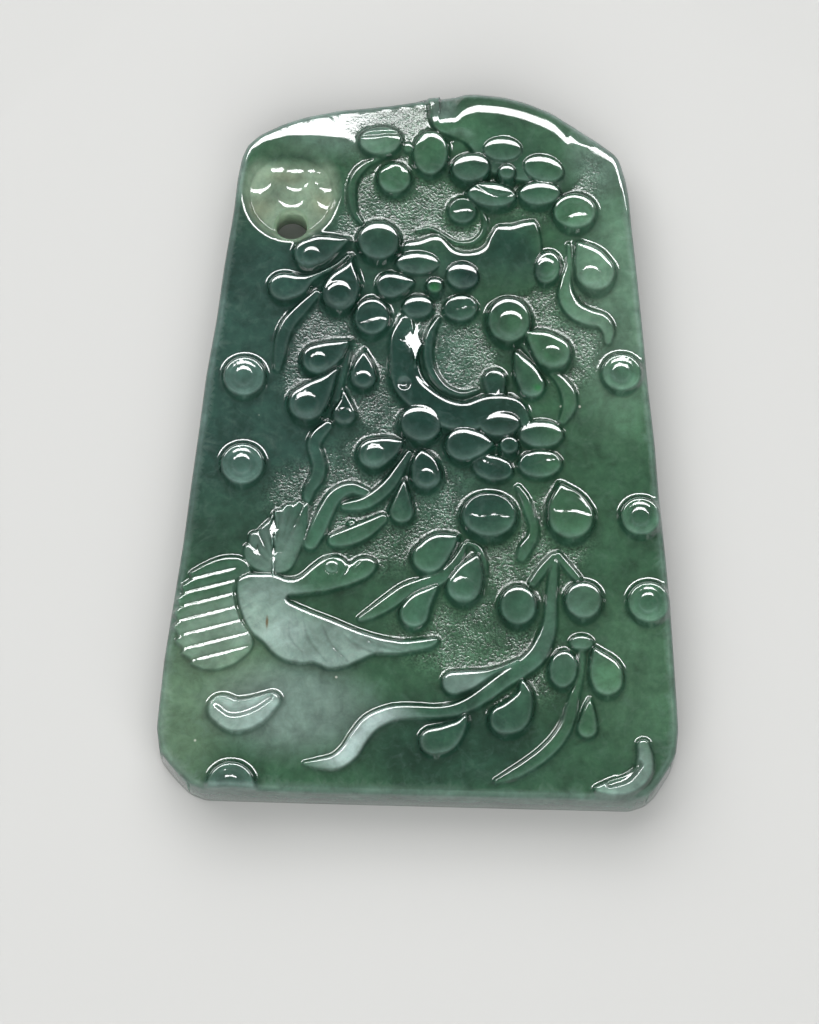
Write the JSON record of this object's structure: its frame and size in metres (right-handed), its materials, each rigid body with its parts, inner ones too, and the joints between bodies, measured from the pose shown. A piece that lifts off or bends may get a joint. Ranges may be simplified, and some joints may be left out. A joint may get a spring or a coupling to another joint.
{
  "type": "jade pendant",
  "caption": "Flat jade plaque with an arched top, a corner cord hole and a carved relief of a bird among blossom, buds and leaves.",
  "frame": {"origin": "middle of the flat back, which the pendant lies on", "axes": "+X across the plaque, +Y up to its arched top, +Z out of the carved face"},
  "size_m": [0.0438, 0.0626, 0.0063],
  "materials": {
    "jade": "polished"
  },
  "bodies": {
    "root": {"pendant": "jade"}
  },
  "joints": []
}
